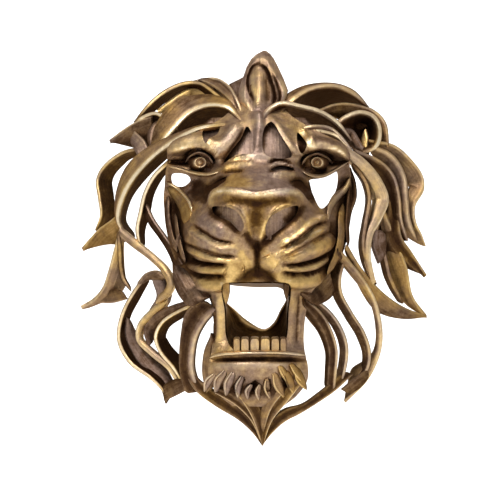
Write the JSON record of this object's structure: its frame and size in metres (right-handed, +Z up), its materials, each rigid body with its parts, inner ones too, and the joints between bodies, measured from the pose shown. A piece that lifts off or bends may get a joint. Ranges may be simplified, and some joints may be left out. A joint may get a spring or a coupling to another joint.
{
  "type": "lion head wall mask",
  "caption": "Openwork lion head wall mask with a flowing mane, gaping mouth and bearded chin, hollow behind and hung from a boss at the back.",
  "frame": {"origin": "on the flat back of the hanging boss, in the wall plane, behind the crest and above the keyhole", "axes": "+Y into the wall, -Y out of the face, +Z up, +X to the right as seen from the front"},
  "size_m": [0.1775, 0.1192, 0.2005],
  "materials": {
    "bronze_finish": "antique bronze coloured metallic finish on a resin casting, satin"
  },
  "bodies": {
    "root": {"lion_mask": "bronze_finish"}
  },
  "joints": []
}
